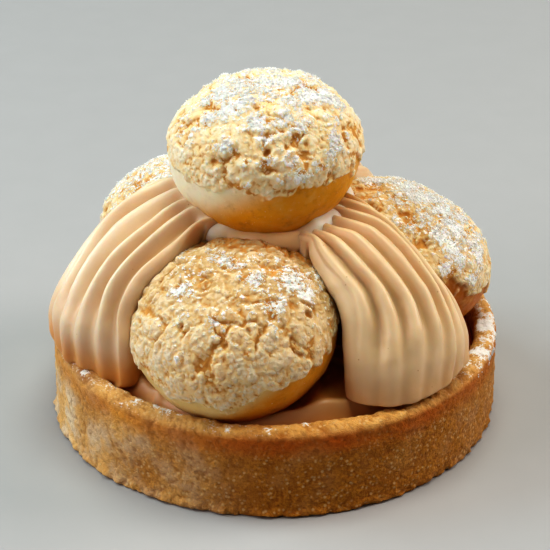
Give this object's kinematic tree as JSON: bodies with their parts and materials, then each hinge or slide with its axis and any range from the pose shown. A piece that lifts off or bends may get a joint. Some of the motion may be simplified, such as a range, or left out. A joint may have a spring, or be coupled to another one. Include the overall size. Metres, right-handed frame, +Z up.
{
  "type": "tartlet",
  "caption": "Round shortcrust tartlet filled with caramel cream, topped with crusted choux buns and ribbed tongues of piped cream.",
  "frame": {"origin": "centre of the shell's flat underside, on the surface it rests on", "axes": "+Z up; -Y is the pictured front, with a chou bun between two tongues of cream; +X to the viewer's right"},
  "size_m": [0.0804, 0.0801, 0.0627],
  "materials": {
    "shortcrust": "dry, sandy and grainy, golden brown",
    "caramel_filling": "soft sheen, smooth",
    "chou_front_crust": "dry cracked biscuit, dusted with sugar",
    "chou_right_crust": "dry cracked biscuit, heavily dusted with sugar",
    "chou_left_crust": "dry cracked biscuit, dusted with sugar",
    "chou_top_crust": "dry cracked biscuit, dusted with sugar",
    "cream_left": "smooth, soft sheen",
    "cream_right": "smooth, soft sheen",
    "cream_back": "smooth, soft sheen",
    "cream_core": "smooth, soft sheen"
  },
  "bodies": {
    "root": {"tart_shell": "shortcrust", "filling": "caramel_filling", "chou_front": "chou_front_crust", "chou_right": "chou_right_crust", "chou_left": "chou_left_crust", "chou_top": "chou_top_crust", "cream_left": "cream_left", "cream_right": "cream_right", "cream_back": "cream_back", "cream_core": "cream_core"}
  },
  "joints": []
}
